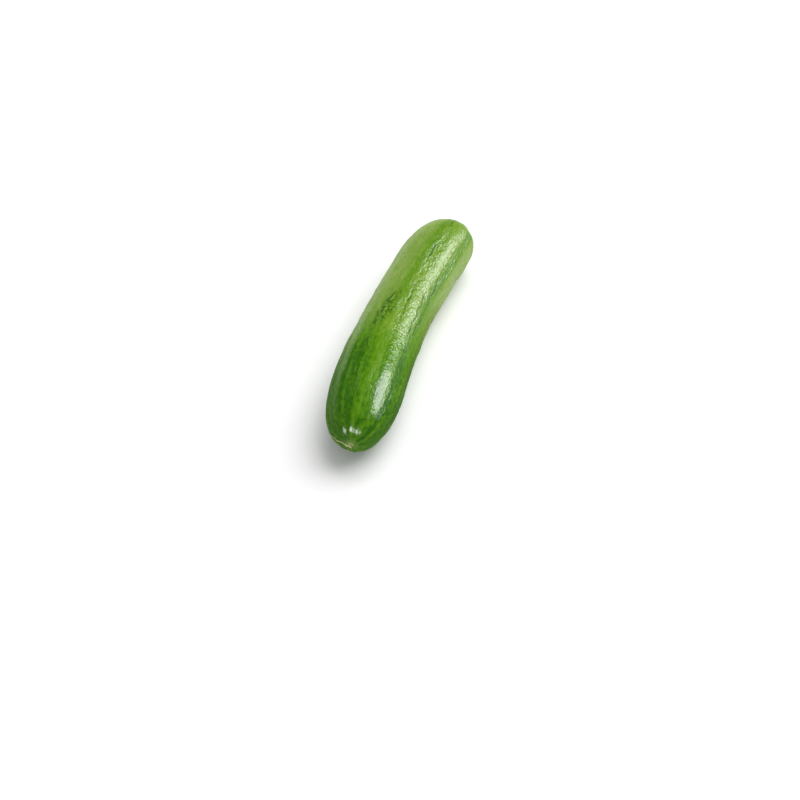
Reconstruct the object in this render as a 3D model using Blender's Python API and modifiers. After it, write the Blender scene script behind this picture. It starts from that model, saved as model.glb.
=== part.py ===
"""One small smooth cucumber, picked and lying on its side.

Metres, +Z up. The fruit lies along X with its blossom end at +X and its stem end at -X.
It is bent in the level plane, hollow side towards +Y, and stands on z = 0 on a narrow
flat spot. The origin is under the middle of its bounding box.

The fruit grew in one piece, so it is one solid: skin, ribs, the cork scar where the stem
was cut and the puckered scar where the flower fell off are all one surface.
"""

import math

import bmesh
import bpy
from mathutils import Vector

MM = 0.001

# Overall size
LENGTH = 160.0 * MM
STEM_CAP = 29.5 * MM        # length over which the stem end rounds off
BLOSSOM_CAP = 44.5 * MM     # the blossom end rounds off over a longer way
STEM_BLUNTNESS = 2.36       # 2 is an ellipse, more is blunter
BLOSSOM_BLUNTNESS = 2.38

# Radius of the body at equal steps from the stem end to the blossom end, before rounding off
BODY_RADII = (16.7 * MM, 16.1 * MM, 16.0 * MM, 17.1 * MM, 17.9 * MM)

# Bend in the level plane: how far each end has swung towards +Y, and how much the curve
# eases off on its way there
STEM_END_SWING = 8.0 * MM
BLOSSOM_END_SWING = 6.7 * MM
BEND_EASING = 1.1 * MM

# Two forms of the stem end on the hollow side of the bend: a shoulder, and a neck behind it:
# height, station, half length
STEM_SHOULDER = (1.5 * MM, 8.5 * MM, 5.7 * MM)
STEM_NECK = (-0.4 * MM, 29.0 * MM, 9.0 * MM)
HOLLOW_SIDE = math.radians(-5.0)
HOLLOW_SIDE_REACH = 0.9     # half width of both forms round the fruit, in radians

# Ribs: ten low ridges with narrow creases between them, strongest towards the stem
RIB_COUNT = 10
RIB_HEIGHT_STEM = 0.20 * MM
RIB_HEIGHT_BLOSSOM = 0.10 * MM
RIB_SHARPNESS = 1.5         # above 1 the creases are narrower than the ridges
RIB_UNEVENNESS = 0.35       # share by which the height of a rib comes and goes
RIB_TWIST = math.radians(6.0)
RIB_CREST = math.radians(270.0)     # one ridge lies along the underside
RIB_FADE_RADIUS = 9.0 * MM  # towards a tip the ribs die out inside this radius

# The three seed chambers show as a slightly three-sided section
CHAMBERS = 3
CHAMBER_HEIGHT = 0.18 * MM
CHAMBER_CREST = math.radians(54.0)

# Long shallow swellings and dips of the skin:
# height, waves along the fruit, waves around it, phase
SWELLINGS = (
    (0.12 * MM, 2.3, 2, -0.5),
    (0.09 * MM, 4.1, 1, 0.3),
    (0.06 * MM, 6.7, 3, 4.0),
    (0.04 * MM, 9.2, 5, 1.3),
)

# Cork scar at the stem end, and the shallow dimple that it sits in
STEM_DIMPLE_RADIUS = 9.5 * MM
STEM_DIMPLE_DEPTH = 1.1 * MM
STEM_SCAR_RADIUS = 4.1 * MM
STEM_SCAR_HEIGHT = 0.9 * MM
STEM_SCAR_HOLLOW = 0.45 * MM
STEM_SCAR_EDGE = 0.6 * MM   # half width of the slope down from its rim
STEM_SCAR_LOBES = 5
STEM_SCAR_LOBE_SHARE = 0.07

# Puckered scar at the blossom end: a low rim round a small hollow, in short radial folds
BLOSSOM_RIM_RADIUS = 1.9 * MM
BLOSSOM_RIM_WIDTH = 0.9 * MM
BLOSSOM_RIM_HEIGHT = 0.35 * MM
BLOSSOM_HOLLOW_DEPTH = 0.45 * MM
PUCKER_FOLDS = 10
PUCKER_HEIGHT = 0.08 * MM
PUCKER_RADIUS = 5.0 * MM

# Flat spot on the underside
FLAT_DEPTH = 0.6 * MM

# Fineness of the turned body
STEPS_AROUND = 80
CAP_RINGS = 17
BODY_RINGS = 25
TIP_CROWDING = 1.4          # rings of a cap crowd towards its tip

SKIN_COLOUR = (0.105, 0.270, 0.022, 1.0)
SKIN_ROUGHNESS = 0.32


def clear_scene():
    """Remove whatever the file holds."""
    for thing in list(bpy.data.objects):
        bpy.data.objects.remove(thing, do_unlink=True)


def make_collection(name):
    """Add a collection to the scene and return it."""
    collection = bpy.data.collections.new(name)
    bpy.context.scene.collection.children.link(collection)
    return collection


def skin_material():
    """Waxy green skin."""
    material = bpy.data.materials.new("cucumber_skin")
    material.use_nodes = True
    shader = material.node_tree.nodes["Principled BSDF"]
    shader.inputs["Base Color"].default_value = SKIN_COLOUR
    shader.inputs["Roughness"].default_value = SKIN_ROUGHNESS
    shader.inputs["Metallic"].default_value = 0.0
    material.diffuse_color = SKIN_COLOUR
    return material


def smooth_step(value):
    """Ease from 0 to 1 while the value goes from 0 to 1."""
    value = min(max(value, 0.0), 1.0)
    return value * value * (3.0 - 2.0 * value)


def body_radius(station):
    """Radius of the body at a station, on a smooth curve through the given radii."""
    place = station / LENGTH * (len(BODY_RADII) - 1)
    radius = 0.0
    for i, value in enumerate(BODY_RADII):
        weight = 1.0
        for j in range(len(BODY_RADII)):
            if j != i:
                weight *= (place - j) / (i - j)
        radius += weight * value
    return radius


def cap_point(step, steps, length, bluntness):
    """Distance from the tip, and share of the full radius, at one ring of a rounded end."""
    angle = 0.5 * math.pi * (step / steps) ** TIP_CROWDING
    distance = length * (1.0 - math.cos(angle) ** (2.0 / bluntness))
    share = math.sin(angle) ** (2.0 / bluntness)
    return distance, share


def profile_points():
    """The turned outline as (radius, station) pairs, from the blossom tip to the stem tip."""
    points = []
    for step in range(CAP_RINGS):
        distance, share = cap_point(step, CAP_RINGS, BLOSSOM_CAP, BLOSSOM_BLUNTNESS)
        station = LENGTH - distance
        points.append((share * body_radius(station), station))
    body_start = LENGTH - BLOSSOM_CAP
    for step in range(BODY_RINGS + 1):
        station = body_start + (STEM_CAP - body_start) * step / BODY_RINGS
        points.append((body_radius(station), station))
    for step in reversed(range(CAP_RINGS)):
        distance, share = cap_point(step, CAP_RINGS, STEM_CAP, STEM_BLUNTNESS)
        points.append((share * body_radius(distance), distance))
    return points


def turned_body():
    """Turn the outline about its axis and return the straight, smooth body as a mesh."""
    outline = bpy.data.meshes.new("outline")
    points = [(radius, 0.0, station) for radius, station in profile_points()]
    edges = [(i, i + 1) for i in range(len(points) - 1)]
    outline.from_pydata(points, edges, [])
    turned = bpy.data.objects.new("outline", outline)
    bpy.context.scene.collection.objects.link(turned)
    screw = turned.modifiers.new("turn", "SCREW")
    screw.axis = "Z"
    screw.angle = math.tau
    screw.steps = STEPS_AROUND
    screw.render_steps = STEPS_AROUND
    screw.use_merge_vertices = True
    screw.merge_threshold = 0.01 * MM
    depsgraph = bpy.context.evaluated_depsgraph_get()
    body = bpy.data.meshes.new_from_object(turned.evaluated_get(depsgraph))
    bpy.data.objects.remove(turned, do_unlink=True)
    bpy.data.meshes.remove(outline)
    return body


def rib_relief(around, along, radius):
    """Height of the ribs: wide ridges with narrow creases between them."""
    phase = RIB_COUNT * (around - RIB_CREST - RIB_TWIST * (along - 0.5))
    ridge = 1.0 - 2.0 * (0.5 - 0.5 * math.cos(phase)) ** RIB_SHARPNESS
    height = RIB_HEIGHT_STEM + (RIB_HEIGHT_BLOSSOM - RIB_HEIGHT_STEM) * along
    unevenness = 1.0 + RIB_UNEVENNESS * math.sin(2.0 * around + 5.0 * along)
    return height * unevenness * ridge * smooth_step(radius / RIB_FADE_RADIUS)


def chamber_relief(around, radius):
    """The three-sided section."""
    wave = math.cos(CHAMBERS * (around - CHAMBER_CREST))
    return CHAMBER_HEIGHT * wave * smooth_step(radius / RIB_FADE_RADIUS)


def swelling_relief(around, along, radius):
    """Long shallow swellings and dips."""
    height = 0.0
    for size, waves_along, waves_around, phase in SWELLINGS:
        height += size * math.sin(math.tau * waves_along * along + waves_around * around + phase)
    return height * smooth_step(radius / RIB_FADE_RADIUS)


def hollow_side_relief(around, station, radius):
    """Shoulder and neck of the stem end, on the hollow side of the bend."""
    turn = math.remainder(around - HOLLOW_SIDE, math.tau) / HOLLOW_SIDE_REACH
    height = 0.0
    for size, middle, half_length in (STEM_SHOULDER, STEM_NECK):
        height += size * math.exp(-(((station - middle) / half_length) ** 2) - turn ** 2)
    return height * smooth_step(radius / RIB_FADE_RADIUS)


def stem_relief(around, radius):
    """Dimple at the stem end, with the cork scar standing up in it, hollow at its centre."""
    dimple = -STEM_DIMPLE_DEPTH * (1.0 - smooth_step(radius / STEM_DIMPLE_RADIUS))
    rim = STEM_SCAR_RADIUS * (1.0 + STEM_SCAR_LOBE_SHARE * math.cos(STEM_SCAR_LOBES * around))
    plateau = 1.0 - smooth_step((radius - rim + STEM_SCAR_EDGE) / (2.0 * STEM_SCAR_EDGE))
    hollow = 1.0 - smooth_step(2.0 * radius / rim)
    return dimple + STEM_SCAR_HEIGHT * plateau - STEM_SCAR_HOLLOW * hollow


def blossom_relief(around, radius):
    """Low rim round a small hollow, with short folds running out from it."""
    rim = math.exp(-(((radius - BLOSSOM_RIM_RADIUS) / BLOSSOM_RIM_WIDTH) ** 2))
    hollow = 1.0 - smooth_step(radius / BLOSSOM_RIM_RADIUS)
    reach = smooth_step(radius / BLOSSOM_RIM_RADIUS) * (1.0 - smooth_step(radius / PUCKER_RADIUS))
    folds = math.cos(PUCKER_FOLDS * (around - RIB_CREST)) * reach
    return BLOSSOM_RIM_HEIGHT * rim - BLOSSOM_HOLLOW_DEPTH * hollow + PUCKER_HEIGHT * folds


def grow_relief(body):
    """Raise every form of the skin from the smooth turned body, along its normals."""
    raised = []
    for vertex in body.vertices:
        x, y, station = vertex.co
        radius = math.hypot(x, y)
        around = math.atan2(y, x)
        along = station / LENGTH
        height = rib_relief(around, along, radius)
        height += chamber_relief(around, radius)
        height += swelling_relief(around, along, radius)
        height += hollow_side_relief(around, station, radius)
        if along < 0.5:
            height += stem_relief(around, radius)
        else:
            height += blossom_relief(around, radius)
        raised.append(vertex.co + height * vertex.normal)
    for vertex, place in zip(body.vertices, raised):
        vertex.co = place


def swing(along):
    """Sideways place of the fruit's axis, and its slope, at a share of the length."""
    u = 2.0 * along - 1.0
    even = 0.5 * (BLOSSOM_END_SWING + STEM_END_SWING)
    odd = 0.5 * (BLOSSOM_END_SWING - STEM_END_SWING)
    offset = (even + BEND_EASING) * u ** 2 + odd * u ** 3 - BEND_EASING * u ** 4
    steepness = 2.0 * (even + BEND_EASING) * u + 3.0 * odd * u ** 2 - 4.0 * BEND_EASING * u ** 3
    slope = steepness / (0.5 * LENGTH)
    return offset, slope


def lay_and_bend(body):
    """Lay the upright body along X with a level underside, and bend it towards +Y.

    The turned body's +X side becomes the fruit's +Y side, and its +Y side the top.
    """
    for vertex in body.vertices:
        side, up, station = vertex.co
        offset, slope = swing(station / LENGTH)
        across = Vector((-slope, 1.0, 0.0)).normalized()
        axis = Vector((station - 0.5 * LENGTH, offset, resting_height(station)))
        vertex.co = axis + side * across + Vector((0.0, 0.0, up))


def resting_height(station):
    """Height of the axis: the underside is level between the middles of the two caps."""
    station = min(max(station, 0.5 * STEM_CAP), LENGTH - 0.5 * BLOSSOM_CAP)
    return body_radius(station)


def centre_on_origin(body):
    """Move the body so that the flat cut is at z = 0 and its box is centred on the origin."""
    low_x, high_x = extent(body, 0)
    low_y, high_y = extent(body, 1)
    low_z = extent(body, 2)[0]
    shift = Vector((0.5 * (low_x + high_x), 0.5 * (low_y + high_y), low_z + FLAT_DEPTH))
    for vertex in body.vertices:
        vertex.co -= shift


def extent(body, axis):
    """Lowest and highest coordinate of a mesh along one axis."""
    values = [vertex.co[axis] for vertex in body.vertices]
    return min(values), max(values)


def floor_cutter(collection):
    """A block below z = 0 that takes off the flat spot on the underside."""
    depth = 10.0 * MM
    mesh = bpy.data.meshes.new("flat_spot_cutter")
    block = bmesh.new()
    bmesh.ops.create_cube(block, size=1.0)
    bmesh.ops.scale(block, vec=(1.5 * LENGTH, 0.5 * LENGTH, depth), verts=block.verts)
    bmesh.ops.translate(block, vec=(0.0, 0.0, -0.5 * depth), verts=block.verts)
    block.to_mesh(mesh)
    block.free()
    cutter = bpy.data.objects.new("flat_spot_cutter", mesh)
    cutter.display_type = "WIRE"
    cutter.hide_render = True
    collection.objects.link(cutter)
    return cutter


def make_cucumber(collection, cutters):
    """The whole fruit."""
    body = turned_body()
    grow_relief(body)
    lay_and_bend(body)
    centre_on_origin(body)
    body.name = "cucumber"
    body.materials.append(skin_material())
    body.shade_smooth()
    fruit = bpy.data.objects.new("cucumber", body)
    collection.objects.link(fruit)
    cut = fruit.modifiers.new("flat_spot", "BOOLEAN")
    cut.operation = "DIFFERENCE"
    cut.solver = "EXACT"
    cut.object = floor_cutter(cutters)
    return fruit


clear_scene()
make_cucumber(make_collection("small_cucumber"), make_collection("cutters"))
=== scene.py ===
import math

import bmesh
import bpy
import mathutils.noise
from mathutils import Matrix, Vector
from mathutils.bvhtree import BVHTree


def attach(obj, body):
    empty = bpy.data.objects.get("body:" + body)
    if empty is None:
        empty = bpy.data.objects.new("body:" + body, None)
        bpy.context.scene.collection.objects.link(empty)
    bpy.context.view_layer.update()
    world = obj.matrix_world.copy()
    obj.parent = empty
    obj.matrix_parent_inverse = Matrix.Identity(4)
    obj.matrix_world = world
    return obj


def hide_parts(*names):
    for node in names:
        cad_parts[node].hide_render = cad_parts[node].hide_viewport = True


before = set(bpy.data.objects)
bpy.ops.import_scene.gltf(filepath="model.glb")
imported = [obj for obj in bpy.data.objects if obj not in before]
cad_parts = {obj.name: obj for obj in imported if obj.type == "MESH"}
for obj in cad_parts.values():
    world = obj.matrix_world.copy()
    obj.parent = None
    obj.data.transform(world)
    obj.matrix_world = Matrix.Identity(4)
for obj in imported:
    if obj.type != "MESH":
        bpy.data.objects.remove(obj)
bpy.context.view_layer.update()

# The fruit: one grown piece, firm flesh under a thin waxed skin. It is turned from an
# outline that is blunter at the stem, raised into ten low ribs and a slightly three-sided
# section, then bent on its side. The scars of stem and flower are part of the same skin.
MM = 0.001
BODY_RADII = (16.7 * MM, 16.1 * MM, 16.0 * MM, 17.1 * MM, 17.9 * MM)
BODY_GIRTH_RADIUS = 16.5 * MM
MERIDIAN = 175.0 * MM
RIB_COUNT = 10
RIB_SHARPNESS = 1.5
RIB_UNEVENNESS = 0.35
RIB_TWIST = math.radians(6.0)
UNDERSIDE = math.radians(270.0)
RIB_FADE_RADIUS = 9.0 * MM
CHAMBERS = 3
CHAMBER_CREST = math.radians(54.0)
SWELLINGS = (
    (0.12 * MM, 2.3, 2, -0.5),
    (0.09 * MM, 4.1, 1, 0.3),
    (0.06 * MM, 6.7, 3, 4.0),
    (0.04 * MM, 9.2, 5, 1.3),
)
STEM_SHOULDER = (1.5 * MM, 8.5 * MM, 5.7 * MM)
STEM_NECK = (-0.4 * MM, 29.0 * MM, 9.0 * MM)
HOLLOW_SIDE = math.radians(-5.0)
HOLLOW_SIDE_REACH = 0.9
STEM_DIMPLE_RADIUS = 9.5 * MM
STEM_SCAR_EDGE = 0.6 * MM
STEM_SCAR_LOBES = 5
STEM_SCAR_LOBE_SHARE = 0.07
BLOSSOM_RIM_RADIUS = 1.9 * MM
BLOSSOM_RIM_WIDTH = 0.9 * MM
PUCKER_FOLDS = 10
PUCKER_RADIUS = 5.0 * MM
SKIN_SEGMENTS = 220
SKIN_RINGS = 420

# Creases of the skin: angle at the first and at the last station, those stations, and depth
CREASES = (
    (37.0, 29.0, 48.0 * MM, 70.0 * MM, 0.05 * MM),
    (32.0, 36.0, 74.0 * MM, 97.0 * MM, 0.05 * MM),
    (94.0, 108.0, 69.0 * MM, 99.0 * MM, 0.07 * MM),
    (76.0, 74.0, 30.0 * MM, 44.0 * MM, 0.06 * MM),
    (78.0, 76.0, 7.0 * MM, 15.0 * MM, 0.08 * MM),
    (102.0, 101.0, 106.0 * MM, 117.0 * MM, 0.06 * MM),
    (69.0, 67.0, 54.0 * MM, 93.0 * MM, 0.10 * MM),
    (45.0, 44.0, 58.0 * MM, 98.0 * MM, 0.06 * MM),
    (148.0, 151.0, 92.0 * MM, 140.0 * MM, 0.08 * MM),
    (196.0, 201.0, 34.0 * MM, 76.0 * MM, 0.09 * MM),
    (222.0, 214.0, 84.0 * MM, 131.0 * MM, 0.08 * MM),
    (305.0, 312.0, 40.0 * MM, 66.0 * MM, 0.08 * MM),
    (341.0, 336.0, 88.0 * MM, 126.0 * MM, 0.08 * MM),
)
CREASE_HALF_WIDTH = 0.8 * MM
# Half width of the painted shade along each crease
CREASE_SHADE_HALF_WIDTH = 0.36 * MM

# The skin is smoother on a band beside the hollow of the bend, and at the blossom end
SMOOTH_BAND = math.radians(20.0)
SMOOTH_BAND_REACH = 0.32
SMOOTH_BAND_SHARE = 0.65
SMOOTH_END_SHARE = 0.6
SMOOTH_END = (0.90, 0.96)

SKIN_SIZES = {
    "Length": 160.0 * MM,
    "Stem cap": 29.5 * MM,
    "Stem bluntness": 2.36,
    "Blossom cap": 44.5 * MM,
    "Blossom bluntness": 2.38,
    "Stem end swing": 8.0 * MM,
    "Blossom end swing": 6.7 * MM,
    "Bend easing": 1.1 * MM,
    "Rib height at stem": 0.20 * MM,
    "Rib height at blossom": 0.10 * MM,
    "Chamber height": 0.18 * MM,
    "Stem dimple depth": 1.1 * MM,
    "Stem scar radius": 4.1 * MM,
    "Stem scar height": 0.9 * MM,
    "Stem scar hollow": 0.45 * MM,
    "Blossom rim height": 0.35 * MM,
    "Blossom hollow depth": 0.45 * MM,
    "Pucker height": 0.08 * MM,
    "Dent height": 0.10 * MM,
    "Wrinkle height": 0.27 * MM,
    "Pebble height": 0.075 * MM,
    "Ripple height": 0.040 * MM,
    "Flat depth": 0.6 * MM,
}


class Field:
    """A number that differs from place to place. Arithmetic on it adds Math nodes."""

    def __init__(self, tree, socket):
        self.tree = tree
        self.socket = socket

    def join(self, operation, *values):
        """One Math node on the given values, in their order."""
        node = self.tree.nodes.new("ShaderNodeMath")
        node.operation = operation
        for slot, value in zip(node.inputs, values):
            feed(slot, value)
        return Field(self.tree, node.outputs[0])

    def __add__(self, other):
        return self.join("ADD", self, other)

    def __radd__(self, other):
        return self.join("ADD", other, self)

    def __sub__(self, other):
        return self.join("SUBTRACT", self, other)

    def __rsub__(self, other):
        return self.join("SUBTRACT", other, self)

    def __mul__(self, other):
        return self.join("MULTIPLY", self, other)

    def __rmul__(self, other):
        return self.join("MULTIPLY", other, self)

    def __truediv__(self, other):
        return self.join("DIVIDE", self, other)

    def __neg__(self):
        return self.join("MULTIPLY", self, -1.0)

    def __pow__(self, other):
        return self.join("POWER", self, other)


def feed(slot, value):
    """Link a field to a socket, or set a plain value on it."""
    if isinstance(value, Field):
        value.tree.links.new(value.socket, slot)
    else:
        slot.default_value = value


def sine(field):
    return field.join("SINE", field)


def cosine(field):
    return field.join("COSINE", field)


def size_of(field):
    return field.join("ABSOLUTE", field)


def lower_of(first, second):
    return first.join("MINIMUM", first, second)


def higher_of(first, second):
    return first.join("MAXIMUM", first, second)


def hill(field):
    """A smooth hill of height 1 where the field is 0, gone where it is 2 or more."""
    return field.join("EXPONENT", -(field * field))


def ease(field, start=0.0, end=1.0):
    """Goes smoothly from 0 to 1 while the field goes from start to end."""
    node = field.tree.nodes.new("ShaderNodeMapRange")
    node.interpolation_type = "SMOOTHSTEP"
    feed(node.inputs["Value"], field)
    feed(node.inputs["From Min"], start)
    feed(node.inputs["From Max"], end)
    return Field(field.tree, node.outputs[0])


def split(tree, vector):
    """The three numbers of a vector socket."""
    node = tree.nodes.new("ShaderNodeSeparateXYZ")
    tree.links.new(vector, node.inputs[0])
    return [Field(tree, socket) for socket in node.outputs]


def bind(tree, x, y, z):
    """A vector socket from three numbers."""
    node = tree.nodes.new("ShaderNodeCombineXYZ")
    for slot, value in zip(node.inputs, (x, y, z)):
        feed(slot, value)
    return node.outputs[0]


def noise(tree, place, lump, seed=0.0, detail=2.0):
    """Soft noise, mostly between -1 and 1, with lumps of the given size along x, y and z."""
    scaled = tree.nodes.new("ShaderNodeVectorMath")
    scaled.operation = "MULTIPLY_ADD"
    tree.links.new(place, scaled.inputs[0])
    scaled.inputs[1].default_value = [1.0 / width for width in lump]
    scaled.inputs[2].default_value = (seed, 0.7 * seed, 1.3 * seed)
    cloud = tree.nodes.new("ShaderNodeTexNoise")
    cloud.inputs["Scale"].default_value = 1.0
    cloud.inputs["Detail"].default_value = detail
    cloud.inputs["Roughness"].default_value = 0.5
    tree.links.new(scaled.outputs[0], cloud.inputs["Vector"])
    return 4.0 * (Field(tree, cloud.outputs[0]) - 0.5)


def start_tree(name, sizes):
    """A Geometry Nodes tree with one named input for each size, and those inputs as fields."""
    tree = bpy.data.node_groups.new(name, "GeometryNodeTree")
    tree.interface.new_socket("Mesh", in_out="OUTPUT", socket_type="NodeSocketGeometry")
    for label in sizes:
        tree.interface.new_socket(label, in_out="INPUT", socket_type="NodeSocketFloat")
    source = tree.nodes.new("NodeGroupInput")
    return tree, {label: Field(tree, source.outputs[label]) for label in sizes}


def finish_tree(tree, geometry, material):
    """End a tree in Realize Instances and Set Material."""
    realize = tree.nodes.new("GeometryNodeRealizeInstances")
    tree.links.new(geometry, realize.inputs["Geometry"])
    finish = tree.nodes.new("GeometryNodeSetMaterial")
    finish.inputs["Material"].default_value = material
    tree.links.new(realize.outputs["Geometry"], finish.inputs["Geometry"])
    output = tree.nodes.new("NodeGroupOutput")
    tree.links.new(finish.outputs["Geometry"], output.inputs["Mesh"])


def grow(name, tree, sizes):
    """Run a tree and return its result as a plain mesh object."""
    carrier = bpy.data.objects.new(name, bpy.data.meshes.new(name))
    bpy.context.scene.collection.objects.link(carrier)
    modifier = carrier.modifiers.new("grow", "NODES")
    modifier.node_group = tree
    for item in tree.interface.items_tree:
        if item.name in sizes:
            modifier[item.identifier] = sizes[item.name]
    depsgraph = bpy.context.evaluated_depsgraph_get()
    mesh = bpy.data.meshes.new_from_object(
        carrier.evaluated_get(depsgraph), preserve_all_data_layers=True, depsgraph=depsgraph
    )
    bpy.data.objects.remove(carrier)
    mesh.name = name
    mesh.shade_smooth()
    piece = bpy.data.objects.new(name, mesh)
    bpy.context.scene.collection.objects.link(piece)
    return piece


def store(tree, geometry, name, vector):
    """Keep a vector on the points under a name."""
    node = tree.nodes.new("GeometryNodeStoreNamedAttribute")
    node.data_type = "FLOAT_VECTOR"
    node.domain = "POINT"
    node.inputs["Name"].default_value = name
    value = [slot for slot in node.inputs if slot.name == "Value" and slot.enabled][0]
    tree.links.new(vector, value)
    tree.links.new(geometry, node.inputs["Geometry"])
    return node.outputs["Geometry"]


def recall(tree, name):
    """A vector kept on the points under a name."""
    node = tree.nodes.new("GeometryNodeInputNamedAttribute")
    node.data_type = "FLOAT_VECTOR"
    node.inputs["Name"].default_value = name
    return [socket for socket in node.outputs if socket.enabled][0]


def move(tree, geometry, position=None, offset=None):
    """Put the points at a position, or shift them by an offset."""
    node = tree.nodes.new("GeometryNodeSetPosition")
    tree.links.new(geometry, node.inputs["Geometry"])
    if position is not None:
        tree.links.new(position, node.inputs["Position"])
    if offset is not None:
        tree.links.new(offset, node.inputs["Offset"])
    return node.outputs["Geometry"]


def raise_skin(tree, geometry, height):
    """Shift the points by a height along the surface's normal."""
    scaled = tree.nodes.new("ShaderNodeVectorMath")
    scaled.operation = "SCALE"
    normal = tree.nodes.new("GeometryNodeInputNormal")
    tree.links.new(normal.outputs[0], scaled.inputs[0])
    feed(scaled.inputs["Scale"], height)
    return move(tree, geometry, offset=scaled.outputs[0])


def body_radius(station, length):
    """Radius of the body, on a smooth curve through the radii at equal steps."""
    place = station / length * (len(BODY_RADII) - 1.0)
    radius = 0.0
    for i, value in enumerate(BODY_RADII):
        weight = value
        for j in range(len(BODY_RADII)):
            if j != i:
                weight = (place - j) * (1.0 / (i - j)) * weight
        radius = weight + radius
    return radius


def cap_share(distance, cap, bluntness):
    """Share of the full radius at a distance from a rounded end."""
    inner = higher_of(1.0 - distance / cap, 0.0) ** bluntness
    return (1.0 - inner) ** (bluntness.join("DIVIDE", 1.0, bluntness))


def rib_phase(around, along):
    return RIB_COUNT * (around - UNDERSIDE - RIB_TWIST * (along - 0.5))


def rib_relief(around, along, radius, size):
    """Wide ridges with narrow creases between them."""
    ridge = 1.0 - 2.0 * (0.5 - 0.5 * cosine(rib_phase(around, along))) ** RIB_SHARPNESS
    stem, blossom = size["Rib height at stem"], size["Rib height at blossom"]
    height = (stem + (blossom - stem) * along) * (0.45 + 0.55 * ease(along, 0.04, 0.2))
    unevenness = 1.0 + RIB_UNEVENNESS * sine(2.0 * around + 5.0 * along)
    return height * unevenness * ridge * ease(radius / RIB_FADE_RADIUS)


def chamber_relief(around, radius, size):
    """The three seed chambers, which show as a slightly three-sided section."""
    wave = cosine(CHAMBERS * (around - CHAMBER_CREST))
    return size["Chamber height"] * wave * ease(radius / RIB_FADE_RADIUS)


def swelling_relief(around, along, radius):
    """Long shallow swellings and dips."""
    height = 0.0
    for tall, waves_along, waves_around, phase in SWELLINGS:
        wave = sine(math.tau * waves_along * along + waves_around * around + phase)
        height = tall * wave + height
    return height * ease(radius / RIB_FADE_RADIUS)


def turn_from(around, angle):
    """The shorter turn from an angle to a place round the fruit."""
    return (around - angle).join("WRAP", around - angle, math.pi, -math.pi)


def hollow_side_relief(around, station, radius):
    """Shoulder and neck of the stem end, on the hollow side of the bend."""
    turn = turn_from(around, HOLLOW_SIDE) / HOLLOW_SIDE_REACH
    height = 0.0
    for tall, middle, half_length in (STEM_SHOULDER, STEM_NECK):
        height = tall * hill((station - middle) / half_length) + height
    return height * hill(turn) * ease(radius / RIB_FADE_RADIUS)


def stem_relief(around, radius, size):
    """Dimple at the stem end, with the scar standing up in it, hollow at its centre."""
    dimple = size["Stem dimple depth"] * (ease(radius / STEM_DIMPLE_RADIUS) - 1.0)
    lobes = 1.0 + STEM_SCAR_LOBE_SHARE * cosine(STEM_SCAR_LOBES * around)
    rim = size["Stem scar radius"] * lobes
    plateau = 1.0 - ease(radius - rim, -STEM_SCAR_EDGE, STEM_SCAR_EDGE)
    hollow = 1.0 - ease(2.0 * radius / rim)
    return dimple + size["Stem scar height"] * plateau - size["Stem scar hollow"] * hollow


def blossom_relief(around, radius, size):
    """Low rim round a small hollow, with short folds running out from it."""
    rim = hill((radius - BLOSSOM_RIM_RADIUS) / BLOSSOM_RIM_WIDTH)
    hollow = 1.0 - ease(radius / BLOSSOM_RIM_RADIUS)
    reach = ease(radius / BLOSSOM_RIM_RADIUS) * (1.0 - ease(radius / PUCKER_RADIUS))
    folds = cosine(PUCKER_FOLDS * (around - UNDERSIDE)) * reach
    height = size["Blossom rim height"] * rim + size["Pucker height"] * folds
    return height - size["Blossom hollow depth"] * hollow


def smoother(around, along):
    """1 on most of the skin, less on a smooth band beside the hollow and at the blossom end."""
    band = hill(turn_from(around, SMOOTH_BAND) / SMOOTH_BAND_REACH)
    return (1.0 - SMOOTH_BAND_SHARE * band) * (1.0 - SMOOTH_END_SHARE * ease(along, *SMOOTH_END))


def crease_line(around, station, crease, wander, half_width):
    """1 on the line of one crease, falling to 0 beside it and past its ends."""
    first_angle, last_angle, first, last, _ = crease
    share = (station - first) / (last - first)
    angle = math.radians(last_angle - first_angle) * share + math.radians(first_angle)
    across = turn_from(around, angle) * BODY_GIRTH_RADIUS - wander
    ends = 1.0 - ease(size_of(share - 0.5), 0.35, 0.5)
    return hill(across / half_width) * ends


def crease_wander(tree, place):
    """How far the creases stray from their lines: slowly, and in short jags."""
    slow = noise(tree, place, (90.0 * MM, 90.0 * MM, 7.0 * MM), 21.0, 0.0)
    jags = noise(tree, place, (3.0 * MM, 3.0 * MM, 1.5 * MM), 22.0, 1.0)
    return (0.8 * MM) * slow + (0.35 * MM) * jags


def cells(tree, place, width, feature, seed=0.0, stray=0.0):
    """Distance in a net of cells of the given width, whose walls stray from straight."""
    scaled = tree.nodes.new("ShaderNodeVectorMath")
    scaled.operation = "MULTIPLY_ADD"
    tree.links.new(place, scaled.inputs[0])
    scaled.inputs[1].default_value = [1.0 / w for w in width]
    scaled.inputs[2].default_value = (seed, seed, seed)
    vector = scaled.outputs[0]
    if stray:
        cloud = tree.nodes.new("ShaderNodeTexNoise")
        cloud.inputs["Scale"].default_value = 1.3
        cloud.inputs["Detail"].default_value = 2.0
        tree.links.new(vector, cloud.inputs["Vector"])
        shift = tree.nodes.new("ShaderNodeVectorMath")
        shift.operation = "MULTIPLY_ADD"
        tree.links.new(cloud.outputs["Color"], shift.inputs[0])
        shift.inputs[1].default_value = (stray, stray, stray)
        tree.links.new(vector, shift.inputs[2])
        vector = shift.outputs[0]
    node = tree.nodes.new("ShaderNodeTexVoronoi")
    node.feature = feature
    node.inputs["Scale"].default_value = 1.0
    tree.links.new(vector, node.inputs["Vector"])
    return Field(tree, node.outputs["Distance"])


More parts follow.
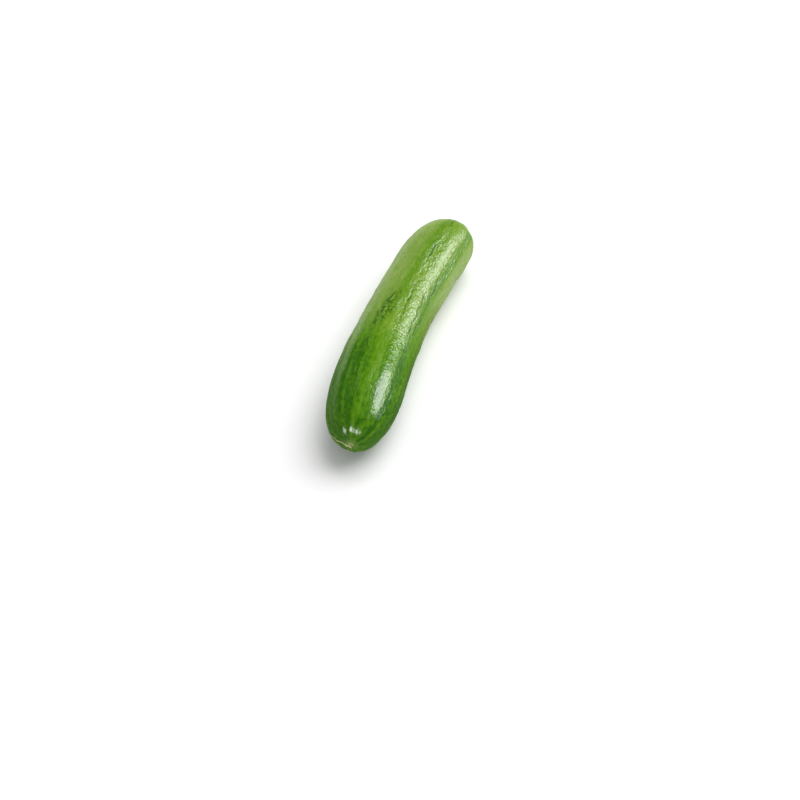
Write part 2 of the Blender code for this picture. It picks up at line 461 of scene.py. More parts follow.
def skin_tree(material):
    """The whole fruit, from a ball to the bent and flattened skin."""
    tree, size = start_tree("grown_skin", SKIN_SIZES)
    ball = tree.nodes.new("GeometryNodeMeshUVSphere")
    ball.inputs["Segments"].default_value = SKIN_SEGMENTS
    ball.inputs["Rings"].default_value = SKIN_RINGS
    ball.inputs["Radius"].default_value = 1.0
    position = tree.nodes.new("GeometryNodeInputPosition").outputs[0]

    # The ball's height gives the station along the fruit
    x, y, z = split(tree, position)
    around = y.join("ARCTAN2", y, x)
    length = size["Length"]
    station = (z + 1.0) * 0.5 * length
    stem_share = cap_share(station, size["Stem cap"], size["Stem bluntness"])
    blossom_share = cap_share(length - station, size["Blossom cap"], size["Blossom bluntness"])
    radius = body_radius(station, length) * stem_share * blossom_share
    straight = bind(tree, radius * cosine(around), radius * sine(around), station)
    polar = higher_of(lower_of(z, 1.0), -1.0)
    meridian = polar.join("ARCCOSINE", polar) * (MERIDIAN / math.pi)
    girth = BODY_GIRTH_RADIUS
    lines = bind(tree, girth * cosine(around), girth * sine(around), meridian)
    geometry = store(tree, ball.outputs["Mesh"], "grown", straight)
    geometry = store(tree, geometry, "lines", lines)
    geometry = move(tree, geometry, position=recall(tree, "grown"))

    # Relief, all raised along the normals of the turned body
    grown, drawn = recall(tree, "grown"), recall(tree, "lines")
    x, y, station = split(tree, grown)
    around = y.join("ARCTAN2", y, x)
    radius = (x * x + y * y) ** 0.5
    along = station / length
    height = rib_relief(around, along, radius, size) + chamber_relief(around, radius, size)
    height += swelling_relief(around, along, radius)
    height += hollow_side_relief(around, station, radius)
    stem_end = 1.0 - ease(along, 0.3, 0.4)
    blossom_end = ease(along, 0.6, 0.7)
    height += stem_relief(around, radius, size) * stem_end
    height += blossom_relief(around, radius, size) * blossom_end
    wander = crease_wander(tree, grown)
    for crease in CREASES:
        line = crease_line(around, station, crease, wander, CREASE_HALF_WIDTH)
        height = height - crease[-1] * line
    rough_end = 1.2 - 0.75 * ease(along, 0.45, 0.8)
    rough_end = rough_end * (0.3 + 0.7 * ease(along, 0.06, 0.19)) * smoother(around, along)
    tip = ease(radius / RIB_FADE_RADIUS)
    dents = noise(tree, grown, (9.0 * MM, 9.0 * MM, 16.0 * MM), 3.0, 1.0)
    wrinkles = cells(tree, grown, (1.4 * MM, 1.4 * MM, 2.7 * MM), "F1", 2.0, 1.6)
    pebbles = noise(tree, grown, (2.6 * MM, 2.6 * MM, 4.4 * MM), 11.0, 1.0)
    ripples = noise(tree, drawn, (2.2 * MM, 2.2 * MM, 26.0 * MM), 5.0, 1.0)
    height += size["Dent height"] * dents * tip
    height += size["Wrinkle height"] * (0.45 - wrinkles) * rough_end * tip
    height += size["Pebble height"] * pebbles * rough_end * tip
    height += size["Ripple height"] * ripples * rough_end
    geometry = raise_skin(tree, geometry, height)

    # Lay the fruit along X and bend it towards +Y
    side, up, station = split(tree, position)
    u = station / length * 2.0 - 1.0
    even = 0.5 * (size["Blossom end swing"] + size["Stem end swing"]) + size["Bend easing"]
    odd = 0.5 * (size["Blossom end swing"] - size["Stem end swing"])
    easing = size["Bend easing"]
    offset = even * u * u + odd * u * u * u - easing * u * u * u * u
    steepness = 2.0 * even * u + 3.0 * odd * u * u - 4.0 * easing * u * u * u
    slope = steepness / (0.5 * length)
    tilt = (slope * slope + 1.0) ** 0.5
    low_end = 0.5 * size["Stem cap"]
    high_end = length - 0.5 * size["Blossom cap"]
    rest = body_radius(higher_of(lower_of(station, high_end), low_end), length)
    bent = bind(
        tree,
        station - 0.5 * length - side * slope / tilt,
        offset + side / tilt,
        rest + up,
    )
    geometry = move(tree, geometry, position=bent)

    # Centre it over the origin and press the underside flat at z = 0
    bounds = tree.nodes.new("GeometryNodeBoundBox")
    tree.links.new(geometry, bounds.inputs["Geometry"])
    low, high = split(tree, bounds.outputs["Min"]), split(tree, bounds.outputs["Max"])
    x, y, z = split(tree, position)
    level = z - low[2] - size["Flat depth"]
    settled = bind(
        tree,
        x - 0.5 * (low[0] + high[0]),
        y - 0.5 * (low[1] + high[1]),
        higher_of(level, 0.0),
    )
    geometry = move(tree, geometry, position=settled)
    finish_tree(tree, geometry, material)
    return tree


SKIN_DEEP = (0.018, 0.110, 0.001, 1.0)
SKIN_MID = (0.084, 0.226, 0.003, 1.0)
SKIN_PALE = (0.180, 0.310, 0.028, 1.0)
# Pale whitish green of the wax bloom, also painted as a reflection on the sides
SKIN_BLOOM_AND_RIM_SHEEN = (0.330, 0.440, 0.150, 1.0)
SKIN_CREAM = (0.420, 0.480, 0.190, 1.0)
# Deep green of the cracks and specks, also painted as shade along the creases
SKIN_DARK_LINE_AND_SHADE = (0.008, 0.055, 0.006, 1.0)
YELLOW_BAND = (math.radians(72.0), 0.42)
RICH_BANDS = ((math.radians(84.0), 0.16), (math.radians(31.0), 0.14))
FLANK_MIDDLE = math.radians(62.0)
FLANK_REACH = 0.90
CRAZED_STATION = 85.0 * MM
CRAZED_HALF_LENGTH = 12.0 * MM
CRAZED_ANGLE = math.radians(97.0)
CRAZED_REACH = 0.24
CRAZED_SLANT = 8.0
HATCH_DEPTH = 0.045 * MM
GRAIN_DEPTH = 0.012 * MM
NET_DEPTH = 0.13 * MM
# Bump depth under the cracks and under the painted crease shade
CRACK_AND_CREASE_DEPTH = 0.02 * MM


def attribute(tree, name):
    """A vector kept on the piece, for its material."""
    node = tree.nodes.new("ShaderNodeAttribute")
    node.attribute_name = name
    return node.outputs["Vector"]


def tint(tree, share, first, second):
    """Colour that goes from the first to the second as the share goes from 0 to 1."""
    node = tree.nodes.new("ShaderNodeMix")
    node.data_type = "RGBA"
    node.clamp_factor = True
    feed(node.inputs[0], share)
    for slot, colour in ((node.inputs[6], first), (node.inputs[7], second)):
        if isinstance(colour, tuple):
            slot.default_value = colour
        else:
            tree.links.new(colour, slot)
    return node.outputs[2]


def bump(tree, height):
    """Normal of a surface with a fine relief, given in metres."""
    node = tree.nodes.new("ShaderNodeBump")
    node.inputs["Strength"].default_value = 1.0
    node.inputs["Distance"].default_value = 1.0
    feed(node.inputs["Height"], height)
    return node.outputs[0]


def skin_material():
    """Waxed skin: deep green at the blossom end, yellower at the stem, streaked and crazed."""
    material = bpy.data.materials.new("waxed_skin")
    material.use_nodes = True
    tree = material.node_tree
    shader = tree.nodes["Principled BSDF"]
    grown, drawn = attribute(tree, "grown"), attribute(tree, "lines")
    x, y, station = split(tree, grown)
    around = y.join("ARCTAN2", y, x)
    radius = (x * x + y * y) ** 0.5
    along = station / SKIN_SIZES["Length"]
    blossom_end = ease(along, 0.6, 0.7)
    stem_end = 1.0 - ease(along, 0.3, 0.4)

    # Green: paler at the stem, deep at the blossom end, in bands along the fruit
    clouds = noise(tree, grown, (11.0 * MM, 11.0 * MM, 26.0 * MM), 2.0, 3.0)
    streaks = noise(tree, drawn, (1.1 * MM, 1.1 * MM, 22.0 * MM), 7.0, 2.0)
    bands = noise(tree, drawn, (4.0 * MM, 4.0 * MM, 60.0 * MM), 9.0, 1.0)
    mottle = noise(tree, grown, (1.6 * MM, 1.6 * MM, 2.6 * MM), 13.0, 3.0)
    ribs = cosine(rib_phase(around, along))
    light = 0.84 - 0.70 * ease(station, 60.0 * MM, 130.0 * MM)
    yellow = hill(turn_from(around, YELLOW_BAND[0]) / YELLOW_BAND[1])
    light = light + 0.22 * yellow * ease(station, 70.0 * MM, 100.0 * MM)
    first, second = [hill(turn_from(around, angle) / reach) for angle, reach in RICH_BANDS]
    rich = first + second
    light = light - 0.38 * rich * (1.0 - ease(station, 55.0 * MM, 95.0 * MM))
    grit = noise(tree, grown, (0.5 * MM, 0.5 * MM, 1.1 * MM), 17.0, 2.0)
    light = light + 0.10 * clouds + 0.14 * streaks + 0.13 * bands + 0.05 * ribs
    light = light + 0.20 * mottle + 0.11 * grit
    colour = tint(tree, ease(light, 0.0, 0.45), SKIN_DEEP, SKIN_MID)
    colour = tint(tree, ease(light, 0.35, 1.0), colour, SKIN_PALE)

    # Bloom and painted sheen: a thin whitish wax, thickest on the sides and towards the stem. On
    # the sides the pale tint is also a painted reflection, the sheen of the skin seen at a slant
    flank = 1.0 - hill(turn_from(around, FLANK_MIDDLE) / FLANK_REACH)
    wax_and_rim_sheen = flank * (1.0 - 0.9 * ease(station, 55.0 * MM, 110.0 * MM))
    wisps = noise(tree, grown, (1.2 * MM, 1.2 * MM, 6.0 * MM), 16.0, 3.0)
    wax_and_rim_sheen = wax_and_rim_sheen * (0.52 + 0.18 * clouds + 0.34 * wisps) * (1.0 - 0.8 * lower_of(rich, 1.0))
    colour = tint(tree, wax_and_rim_sheen, colour, SKIN_BLOOM_AND_RIM_SHEEN)

    # Pale hairlines run the length of the fruit
    hairs = ease(noise(tree, drawn, (1.1 * MM, 1.1 * MM, 17.0 * MM), 18.0, 3.0), 0.0, 1.3)
    colour = tint(tree, 0.30 * hairs * (0.30 + 0.70 * flank), colour, SKIN_BLOOM_AND_RIM_SHEEN)

    # Painted shade lies along the creases, in broken lines
    wander = crease_wander(tree, grown)
    broken = ease(noise(tree, grown, (2.0 * MM, 2.0 * MM, 2.8 * MM), 23.0, 2.0), -0.8, 0.2)
    crease_shade = 0.0
    for crease in CREASES:
        crease_shade = crease_line(
            around, station, crease, wander, CREASE_SHADE_HALF_WIDTH
        ) + crease_shade
    crease_shade = crease_shade * broken

    # Fine crazing in one patch on the top
    crazing = cells(tree, grown, (2.3 * MM, 2.3 * MM, 3.0 * MM), "DISTANCE_TO_EDGE", 1.0, 1.1)
    patch = hill((station - CRAZED_STATION) / CRAZED_HALF_LENGTH)
    slanted = around - CRAZED_SLANT * (station - CRAZED_STATION)
    patch = patch * hill(turn_from(slanted, CRAZED_ANGLE) / CRAZED_REACH)
    cracks = (1.0 - ease(crazing, 0.02, 0.16)) * ease(patch, 0.15, 0.6) * broken
    # The cracks are the skin's own dark lines; along the creases the same dark colour is painted
    # shade
    dark = lower_of(crease_shade + cracks, 1.0)
    colour = tint(tree, 0.85 * dark, colour, SKIN_DARK_LINE_AND_SHADE)

    # Pale lines run in to both scars
    rays = noise(tree, drawn, (0.9 * MM, 0.9 * MM, 60.0 * MM), 4.0, 2.0)
    near_stem = stem_end * (1.0 - ease(radius, 4.0 * MM, 13.0 * MM))
    near_blossom = blossom_end * (1.0 - ease(radius, 1.0 * MM, 4.5 * MM))
    colour = tint(tree, near_stem * (0.35 + 0.5 * rays), colour, SKIN_CREAM)
    colour = tint(tree, near_blossom * (0.25 + 0.45 * rays), colour, SKIN_BLOOM_AND_RIM_SHEEN)

    # Small dark and pale specks
    specks = cells(tree, grown, (6.0 * MM, 6.0 * MM, 8.0 * MM), "F1", 3.0)
    colour = tint(tree, 0.8 * (1.0 - ease(specks, 0.045, 0.085)), colour, SKIN_DARK_LINE_AND_SHADE)
    flecks = cells(tree, grown, (4.2 * MM, 4.2 * MM, 5.6 * MM), "F1", 8.0)
    colour = tint(tree, 0.35 * (1.0 - ease(flecks, 0.03, 0.08)), colour, SKIN_CREAM)
    tree.links.new(colour, shader.inputs["Base Color"])

    # Wrinkles too fine for the mesh
    net = cells(tree, grown, (0.9 * MM, 0.9 * MM, 1.6 * MM), "F1", 5.0, 1.2)
    hatch = noise(tree, grown, (1.2 * MM, 1.2 * MM, 0.9 * MM), 12.0, 2.0)
    grain = noise(tree, drawn, (0.5 * MM, 0.5 * MM, 4.0 * MM), 14.0, 2.0)
    rough_end = (1.2 - 0.6 * ease(along, 0.45, 0.8)) * smoother(around, along)
    height = HATCH_DEPTH * hatch * rough_end + GRAIN_DEPTH * grain
    height = height - NET_DEPTH * net * rough_end
    height = height - CRACK_AND_CREASE_DEPTH * dark
    tree.links.new(bump(tree, height), shader.inputs["Normal"])
    wear = noise(tree, grown, (4.0 * MM, 4.0 * MM, 7.0 * MM), 15.0, 3.0)
    feed(shader.inputs["Roughness"], 0.155 + 0.06 * wear)
    # Less gloss on the cracks and on the creases with painted shade
    feed(shader.inputs["Specular IOR Level"], 0.5 - 0.42 * dark)
    shader.inputs["IOR"].default_value = 1.6
    shader.inputs["Subsurface Weight"].default_value = 0.12
    shader.inputs["Subsurface Radius"].default_value = (0.6, 1.0, 0.25)
    shader.inputs["Subsurface Scale"].default_value = 1.2 * MM
    return material


skin = grow("skin", skin_tree(skin_material()), SKIN_SIZES)
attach(skin, "root")
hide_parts("cucumber")

# Scar of the cut stem: a lobed disc of dry cork, with the broken ends of the stem's fibre
# bundles standing in it. It grew on the skin, and fills the low plateau at the stem end.
CORK_RADIUS = 4.5 * MM
CORK_THICKNESS = 0.22 * MM
CORK_RAGGEDNESS = 0.45 * MM
CORK_ROOT = 0.35 * MM
CORK_RINGS = 22
CORK_SPOKES = 110
CORK_TAN = (0.330, 0.235, 0.105, 1.0)
CORK_BROWN = (0.115, 0.060, 0.022, 1.0)
CORK_GREEN = (0.060, 0.085, 0.022, 1.0)
BUNDLE_COUNT = 10
BUNDLE_CIRCLE = 2.35 * MM
BUNDLE_RADIUS = 0.36 * MM
BUNDLE_HEIGHT = 0.32 * MM
BUNDLE_RINGS = 4
BUNDLE_SPOKES = 12


def end_frame(u):
    """Turn of one end of the fruit: sideways, upwards and outwards as columns."""
    size = SKIN_SIZES
    easing = size["Bend easing"]
    even = 0.5 * (size["Blossom end swing"] + size["Stem end swing"]) + easing
    odd = 0.5 * (size["Blossom end swing"] - size["Stem end swing"])
    slope = (2.0 * even * u + 3.0 * odd * u * u - 4.0 * easing * u**3) / (0.5 * size["Length"])
    sideways = Vector((-slope, 1.0, 0.0)).normalized()
    outwards = Vector((u, u * slope, 0.0)).normalized()
    return Matrix((sideways, Vector((0.0, 0.0, 1.0)), outwards)).transposed()


class SkinFace:
    """Finds the skin in front of one end of the fruit."""

    def __init__(self, skin, u):
        self.turn = end_frame(u)
        self.tree = BVHTree.FromObject(skin, bpy.context.evaluated_depsgraph_get())
        stations = [value.vector.z for value in skin.data.attributes["grown"].data]
        tip = stations.index(max(stations) if u > 0 else min(stations))
        self.pole = skin.data.vertices[tip].co.copy()

    def spot(self, side, up):
        """Point and normal of the skin, at a distance sideways and upwards from the pole."""
        outwards = self.turn.col[2]
        start = self.pole + self.turn @ Vector((side, up, 30.0 * MM))
        point, normal, _, _ = self.tree.ray_cast(start, -outwards)
        return point, normal


def rough(place, lump, seed=0.0):
    """Soft noise between about -1 and 1 at a point, with lumps of the given size."""
    return mathutils.noise.noise(Vector(place) / lump + Vector((seed, seed, seed)))


def make_piece(name, points, faces, marks, material):
    """A mesh object from points and faces. The marks are kept on it for its material."""
    mesh = bpy.data.meshes.new(name)
    mesh.from_pydata(points, [], faces)
    kept = mesh.attributes.new("grown", "FLOAT_VECTOR", "POINT")
    kept.data.foreach_set("vector", [number for mark in marks for number in mark])
    mesh.materials.append(material)
    shaped = bmesh.new()
    shaped.from_mesh(mesh)
    bmesh.ops.recalc_face_normals(shaped, faces=shaped.faces)
    shaped.to_mesh(mesh)
    shaped.free()
    mesh.shade_smooth()
    piece = bpy.data.objects.new(name, mesh)
    bpy.context.scene.collection.objects.link(piece)
    return piece


def disc_faces(rings, spokes, first):
    """Faces of a closed disc: a top and a bottom of rings round a middle point, and a rim."""
    faces = []
    for side in range(2):
        middle = first + side * (1 + rings * spokes)
        for j in range(spokes):
            k = (j + 1) % spokes
            faces.append((middle, middle + 1 + j, middle + 1 + k))
            for i in range(rings - 1):
                inner, outer = middle + 1 + i * spokes, middle + 1 + (i + 1) * spokes
                faces.append((inner + j, outer + j, outer + k, inner + k))
    top = first + 1 + (rings - 1) * spokes
    bottom = top + 1 + rings * spokes
    for j in range(spokes):
        k = (j + 1) % spokes
        faces.append((top + j, bottom + j, bottom + k, top + k))
    return faces


def grown_disc(face, middle, radius, rise, root, rings, spokes):
    """Points and marks of a disc that follows the skin. radius and rise are functions."""
    points, marks = [], []
    outwards = face.turn.col[2]
    for lift in (1.0, -1.0):
        for i in range(rings + 1):
            for j in range(spokes if i else 1):
                angle = math.tau * j / spokes
                share = i / rings
                reach = radius(angle) * share
                side = middle[0] + reach * math.cos(angle)
                up = middle[1] + reach * math.sin(angle)
                point, _ = face.spot(side, up)
                height = rise(side, up, share) if lift > 0 else -root * (1.0 - 0.6 * share)
                points.append(point + outwards * height)
                marks.append((side, up, height))
    return points, marks


def cork_material(name, tan, brown, green, green_reach, radius):
    """Dry cork: tan with brown fibres across it, green and dark in the middle."""
    material = bpy.data.materials.new(name)
    material.use_nodes = True
    tree = material.node_tree
    shader = tree.nodes["Principled BSDF"]
    grown = attribute(tree, "grown")
    side, up, height = split(tree, grown)
    reach = (side * side + up * up) ** 0.5 / radius
    fibres = noise(tree, grown, (0.22 * MM, 0.9 * MM, 0.5 * MM), 3.0, 3.0)
    patches = noise(tree, grown, (1.1 * MM, 0.8 * MM, 1.0 * MM), 5.0, 2.0)
    colour = tint(tree, ease(fibres + 0.8 * patches, -0.4, 1.1), tan, brown)
    middle = 1.0 - ease(reach + 0.10 * patches, green_reach - 0.5, green_reach)
    colour = tint(tree, 0.75 * middle, colour, green)
    edge = ease(reach + 0.05 * fibres, 0.88, 1.0)
    colour = tint(tree, 0.5 * edge, colour, brown)
    tree.links.new(colour, shader.inputs["Base Color"])
    grain = noise(tree, grown, (0.12 * MM, 0.35 * MM, 0.2 * MM), 7.0, 3.0)
    relief = (0.030 * MM) * grain + (0.040 * MM) * fibres
    tree.links.new(bump(tree, relief), shader.inputs["Normal"])
    feed(shader.inputs["Roughness"], 0.82 + 0.06 * patches)
    shader.inputs["Specular IOR Level"].default_value = 0.3
    return material


stem_face = SkinFace(skin, -1.0)


def cork_edge(angle):
    lobes = 1.0 + STEM_SCAR_LOBE_SHARE * math.cos(STEM_SCAR_LOBES * angle)
    round_it = (9.0 * math.cos(angle), 9.0 * math.sin(angle), 0.0)
    return CORK_RADIUS * lobes + CORK_RAGGEDNESS * rough(round_it, 1.3, 4.0)


def cork_rise(side, up, share):
    crust = CORK_THICKNESS * (1.0 - share**6)
    fibres = 0.16 * MM * rough((side * 2.6, up, 0.0), 0.9 * MM, 2.0)
    crumbs = 0.10 * MM * rough((side, up, 0.0), 0.35 * MM, 6.0)
    return crust + (fibres + crumbs) * (1.0 - 0.7 * share**4)


points, marks = grown_disc(
    stem_face, (0.0, 0.0), cork_edge, cork_rise, CORK_ROOT, CORK_RINGS, CORK_SPOKES
)
faces = disc_faces(CORK_RINGS, CORK_SPOKES, 0)
for bundle in range(BUNDLE_COUNT):
    angle = math.tau * bundle / BUNDLE_COUNT + 0.25 * rough((bundle, 0.5, 0.0), 1.0, 9.3)
    circle = BUNDLE_CIRCLE * (1.0 + 0.30 * rough((bundle, 2.5, 0.0), 1.0, 3.7))
    size = 1.0 + 0.5 * rough((bundle, 4.5, 0.0), 1.0, 5.1)
    middle = (circle * math.cos(angle), circle * math.sin(angle))

    def stub_edge(turn):
        jag = rough((3.0 * math.cos(turn), 3.0 * math.sin(turn), bundle), 1.0, 1.0)
        return BUNDLE_RADIUS * size * (1.0 + 0.35 * jag)

    def stub_rise(side, up, share):
        torn = 1.0 + 0.8 * rough((side, up, 0.0), 0.25 * MM, 8.0)
        return CORK_THICKNESS * 0.5 + BUNDLE_HEIGHT * size * torn * (1.0 - share**4)

    more_points, more_marks = grown_disc(
        stem_face, middle, stub_edge, stub_rise, CORK_ROOT * 0.6, BUNDLE_RINGS, BUNDLE_SPOKES
    )
    faces += disc_faces(BUNDLE_RINGS, BUNDLE_SPOKES, len(points))
    points += more_points
    marks += more_marks
cork = make_piece(
    "stem_scar", points, faces, marks,
    cork_material("dry_cork", CORK_TAN, CORK_BROWN, CORK_GREEN, 0.70, CORK_RADIUS),
)
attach(cork, "root")

# Remains of the flower: a small dry scar in the hollow of the blossom end, a few papery
# shreds round it, and one dry thread that has stuck to the skin and runs off to the side.
BUTTON_RADIUS = 1.25 * MM
BUTTON_THICKNESS = 0.16 * MM
BUTTON_ROOT = 0.2 * MM
BUTTON_RINGS = 8
BUTTON_SPOKES = 40
THREAD_RADIUS = 0.25 * MM
THREAD_SIDES = 10
# Knots in millimetres: sideways and upwards from the pole, and height over the skin
THREAD_PATH = (
    (0.6, -1.5, 0.35), (-1.0, -0.9, 0.40), (-2.6, 0.1, 0.45), (-4.2, 0.4, 0.25),
    (-6.0, 0.2, 0.50), (-7.9, 0.2, 0.25), (-9.8, -0.9, 0.45), (-11.5, -1.3, 0.60),
)
THREAD_STEPS = 8
# Angle in degrees, then start, length and width in millimetres
SHREDS = ((205.0, 1.2, 1.5, 0.5), (262.0, 1.2, 0.8, 0.5), (15.0, 1.3, 0.7, 0.5))
SHRED_RADIUS = 0.05 * MM
SHRED_SIDES = 8
SHRED_STEPS = 4
STRAW = (0.720, 0.700, 0.420, 1.0)
STRAW_BROWN = (0.360, 0.330, 0.130, 1.0)
STRAW_GREEN = (0.210, 0.340, 0.050, 1.0)
blossom_face = SkinFace(skin, 1.0)


def smooth_path(knots, steps):
    """Points on a smooth curve through the knots."""
    knots = [Vector(knot) for knot in knots]
    path = []
    for i in range(len(knots) - 1):
        before, after = knots[max(i - 1, 0)], knots[min(i + 2, len(knots) - 1)]
        start, end = knots[i], knots[i + 1]
        for step in range(steps):
            t = step / steps
            path.append(0.5 * (
                2.0 * start + (end - before) * t
                + (2.0 * before - 5.0 * start + 4.0 * end - after) * t * t
                + (3.0 * start - before - 3.0 * end + after) * t**3
            ))
    path.append(knots[-1])
    return path


def tube(path, radius, sides, first):
    """Points and faces of a closed tube. radius is a function of the share of its length."""
    points, faces = [], []
    across = Vector((0.0, 0.0, 1.0))
    for i, middle in enumerate(path):
        ahead = (path[min(i + 1, len(path) - 1)] - path[max(i - 1, 0)]).normalized()
        across = (across - ahead * across.dot(ahead)).normalized()
        beside = ahead.cross(across)
        for j in range(sides):
            angle = math.tau * j / sides
            out = across * math.cos(angle) + beside * math.sin(angle)
            points.append(middle + out * radius(i / (len(path) - 1), angle))
    for i in range(len(path) - 1):
        for j in range(sides):
            k = (j + 1) % sides
            a, b = first + i * sides, first + (i + 1) * sides
            faces.append((a + j, a + k, b + k, b + j))
    faces.append(tuple(first + j for j in reversed(range(sides))))
    faces.append(tuple(first + (len(path) - 1) * sides + j for j in range(sides)))
    return points, faces


def button_edge(angle):
    round_it = (4.0 * math.cos(angle), 4.0 * math.sin(angle), 0.0)
    return BUTTON_RADIUS * (1.0 + 0.22 * rough(round_it, 1.0, 7.0))


def button_rise(side, up, share):
    crumbs = 0.10 * MM * rough((side, up, 0.0), 0.4 * MM, 3.0)
    return BUTTON_THICKNESS * (1.0 - share**4) + crumbs * (1.0 - share**3)


points, marks = grown_disc(
    blossom_face, (0.0, 0.0), button_edge, button_rise, BUTTON_ROOT, BUTTON_RINGS, BUTTON_SPOKES
)
marks = [(0.55 * side, 0.55 * up, height) for side, up, height in marks]
faces = disc_faces(BUTTON_RINGS, BUTTON_SPOKES, 0)

knots = []
for side, up, lift in THREAD_PATH:
    point, normal = blossom_face.spot(side * MM, up * MM)
    knots.append(point + normal * (lift * MM))
path = smooth_path(knots, THREAD_STEPS)


def thread_radius(share, angle):
    uneven = 1.0 + 0.30 * rough((9.0 * share, math.cos(angle), math.sin(angle)), 0.8, 2.0)
    return THREAD_RADIUS * uneven * (1.0 - 0.55 * share)


more_points, more_faces = tube(path, thread_radius, THREAD_SIDES, len(points))
faces += more_faces
marks += [(1.12 * MM, 0.0, 0.4 * MM * i) for i in range(len(path)) for _ in range(THREAD_SIDES)]
points += more_points


def shred_radius(share, angle):
    return SHRED_RADIUS


for turn, reach, length, width in SHREDS:
    knots = []
    for step in range(4):
        share = step / 3.0
        angle = math.radians(turn + 22.0 * share * rough((turn, share, 0.0), 1.0, 1.7))
        distance = (reach + length * (share - 0.35)) * MM
        point, normal = blossom_face.spot(distance * math.cos(angle), distance * math.sin(angle))
        curl = 0.10 + 0.35 * share * share
        knots.append(point + normal * (curl * MM))
    path = smooth_path(knots, SHRED_STEPS)
    across_it = Vector((-math.sin(math.radians(turn)), math.cos(math.radians(turn)), 0.0))
    across_it = blossom_face.turn @ across_it
    strip, strip_faces = tube(path, shred_radius, SHRED_SIDES, len(points))
    for i in range(len(path)):
        share = i / (len(path) - 1)
        half = 0.5 * width * MM * (1.0 - 0.75 * share**1.5)
        for j in range(SHRED_SIDES):
            k = i * SHRED_SIDES + j
            offset = strip[k] - path[i]
            strip[k] += across_it * (offset.dot(across_it) / SHRED_RADIUS * half)
    faces += strip_faces
    points += strip
    marks += [(1.05 * MM, 0.0, 0.3 * MM * i) for i in range(len(path)) for _ in range(SHRED_SIDES)]

flower = make_piece(
    "flower_remains", points, faces, marks,
    cork_material("dry_flower", STRAW, STRAW_BROWN, STRAW_GREEN, 0.92, BUTTON_RADIUS),
)
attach(flower, "root")

# Floor: plain and pale, wide enough to fill the view. The skin doesn't mirror it. Far out it
# glows a little, so that it stays white up to its edge.
FLOOR_SIZE = 6.0
FAR_GLOW = 0.45
FAR_GLOW_START = 0.3
FAR_GLOW_END = 1.2
bpy.ops.mesh.primitive_plane_add(size=FLOOR_SIZE)
floor = bpy.context.object
floor.name = "floor"
floor.visible_glossy = False
floor_finish = bpy.data.materials.new("pale_floor")
floor_finish.use_nodes = True
floor_shader = floor_finish.node_tree.nodes["Principled BSDF"]
floor_shader.inputs["Base Color"].default_value = (0.90, 0.90, 0.90, 1.0)
floor_shader.inputs["Roughness"].default_value = 0.9
floor_shader.inputs["Specular IOR Level"].default_value = 0.0
floor_tree = floor_finish.node_tree
x, y, _ = split(floor_tree, floor_tree.nodes.new("ShaderNodeTexCoord").outputs["Object"])
floor_shader.inputs["Emission Color"].default_value = (1.0, 1.0, 1.0, 1.0)
far_out = ease((x * x + y * y) ** 0.5, FAR_GLOW_START, FAR_GLOW_END)
feed(floor_shader.inputs["Emission Strength"], FAR_GLOW * far_out)
floor_finish.cycles.emission_sampling = "NONE"
floor.data.materials.append(floor_finish)

# Two screens. A second floor is seen only in the gloss of the skin, green in front of the
# fruit and pale behind it. A white wall far off is seen only by the camera.
MIRRORED_GREEN = (0.135, 0.230, 0.065, 1.0)
MIRRORED_WHITE = (0.600, 0.740, 0.440, 1.0)
MIRRORED_WHITE_START = 14.0 * MM
MIRRORED_WHITE_END = 44.0 * MM
MIRRORED_WHITE_SLANT = 0.4
WALL_GLOW = 1.0


def glowing(name, colour, strength):
    """A surface that only glows, in one colour."""
    glow = bpy.data.materials.new(name)
    glow.use_nodes = True
    glow_shader = glow.node_tree.nodes["Principled BSDF"]
    glow_shader.inputs["Base Color"].default_value = (0.0, 0.0, 0.0, 1.0)
    glow_shader.inputs["Specular IOR Level"].default_value = 0.0
    glow_shader.inputs["Emission Color"].default_value = colour
    glow_shader.inputs["Emission Strength"].default_value = strength
    glow.cycles.emission_sampling = "NONE"
    return glow


bpy.ops.mesh.primitive_plane_add(size=FLOOR_SIZE)
dim_floor = bpy.context.object
dim_floor.name = "dim_floor"
mirrored = glowing("mirrored_floor", MIRRORED_GREEN, 1.0)
tree = mirrored.node_tree
x, y, _ = split(tree, tree.nodes.new("ShaderNodeTexCoord").outputs["Object"])
behind = ease(-x - MIRRORED_WHITE_SLANT * y, MIRRORED_WHITE_START, MIRRORED_WHITE_END)
mirrored_colour = tint(tree, behind, MIRRORED_GREEN, MIRRORED_WHITE)
tree.links.new(mirrored_colour, tree.nodes["Principled BSDF"].inputs["Emission Color"])
dim_floor.data.materials.append(mirrored)
bpy.ops.mesh.primitive_cylinder_add(
    radius=0.5 * FLOOR_SIZE, depth=FLOOR_SIZE, vertices=96, end_fill_type="NOTHING"
)
wall = bpy.context.object
wall.name = "wall"
wall.data.materials.append(glowing("wall_white", (1.0, 1.0, 1.0, 1.0), WALL_GLOW))
for screen in (dim_floor, wall):
    screen.visible_diffuse = False
    screen.visible_transmission = False
    screen.visible_volume_scatter = False
    screen.visible_shadow = False
dim_floor.visible_camera = False
wall.visible_glossy = False

# Light: a pale dome and a broad key box light the skin and aren't mirrored in it. A long soft
# box behind the stem end is mirrored as the streak, and two small windows beyond the blossom
# end as its bright spots. Those three light nothing else.
DOME_STRENGTH = 0.55
BOX_DISTANCE = 1.5


def direction(azimuth, elevation):
    """Unit vector at an angle from +X towards +Y, and an angle above the floor."""
    a, e = math.radians(azimuth), math.radians(elevation)
    return Vector((math.cos(a) * math.cos(e), math.sin(a) * math.cos(e), math.sin(e)))


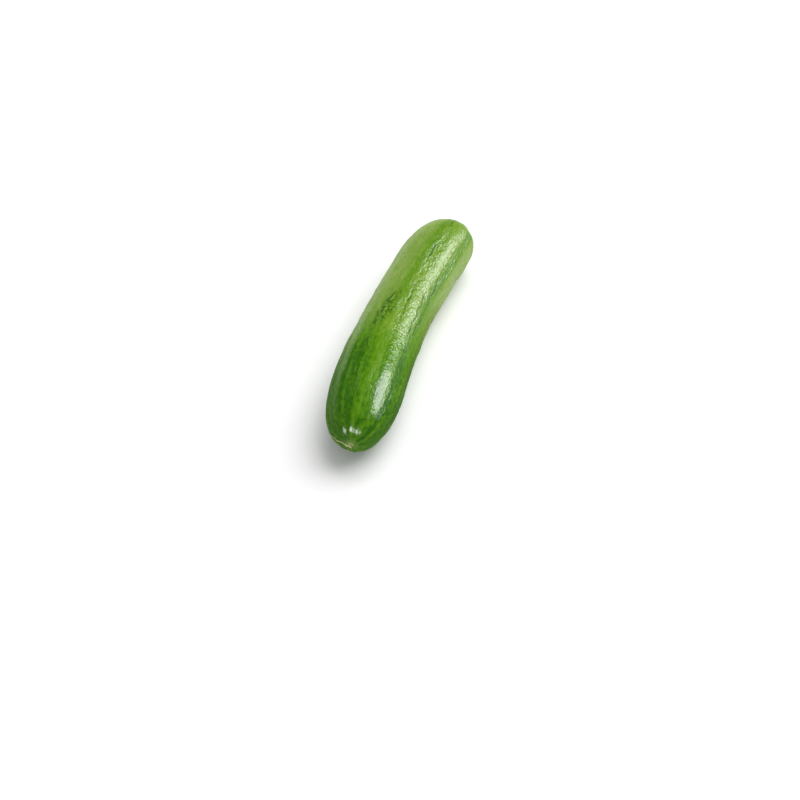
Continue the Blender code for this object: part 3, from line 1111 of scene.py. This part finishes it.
def soft_box(name, azimuth, elevation, width, height, watts, mirrored):
    """A rectangular light that faces the fruit, either mirrored in the skin or lighting it."""
    lamp = bpy.data.lights.new(name, "AREA")
    lamp.shape = "RECTANGLE"
    lamp.size = width
    lamp.size_y = height
    lamp.energy = watts
    towards = direction(azimuth, elevation)
    box = bpy.data.objects.new(name, lamp)
    box.location = towards * BOX_DISTANCE
    box.rotation_euler = towards.to_track_quat("Z", "Y").to_euler()
    box.visible_glossy = mirrored
    box.visible_diffuse = not mirrored
    bpy.context.scene.collection.objects.link(box)


soft_box("key", 140.0, 62.0, 1.6, 1.6, 25.0, False)
soft_box("long_box", 122.0, 31.5, 1.25, 1.10, 32.0, True)
soft_box("left_window", -10.0, 27.0, 0.38, 0.50, 8.6, True)
soft_box("right_window", 23.0, 21.0, 0.22, 0.44, 3.8, True)

world = bpy.data.worlds.new("studio")
world.use_nodes = True
world.node_tree.nodes["Background"].inputs["Color"].default_value = (1.0, 1.0, 1.0, 1.0)
world.node_tree.nodes["Background"].inputs["Strength"].default_value = DOME_STRENGTH
world.cycles_visibility.glossy = False
bpy.context.scene.world = world
bpy.context.scene.view_settings.view_transform = "Standard"

# Camera: looks down on the blossom end as the photograph does. The fruit lies above the
# middle of the picture, so the camera stands a little below the line to it.
VIEW_AZIMUTH = 108.1
VIEW_ELEVATION = 46.0
VIEW_DISTANCE = 650.0 * MM
AIM_HEIGHT = 17.0 * MM
AIM_LEFT = 1.1 * MM
AIM_DOWN = 35.4 * MM
LENS_MM = 60.5

camera = bpy.data.objects.new("camera", bpy.data.cameras.new("camera"))
camera.data.lens = LENS_MM
camera.data.sensor_width = 36.0
camera.data.clip_start = 0.01
a, e = math.radians(VIEW_AZIMUTH), math.radians(VIEW_ELEVATION)
back = Vector((math.sin(a) * math.cos(e), -math.cos(a) * math.cos(e), math.sin(e)))
right = Vector((math.cos(a), math.sin(a), 0.0))
up = back.cross(right)
place = Vector((0.0, 0.0, AIM_HEIGHT)) + back * VIEW_DISTANCE + right * AIM_LEFT - up * AIM_DOWN
turned = Matrix((right, up, back)).transposed().to_4x4()
camera.matrix_world = Matrix.Translation(place) @ turned
bpy.context.scene.collection.objects.link(camera)
bpy.context.scene.camera = camera
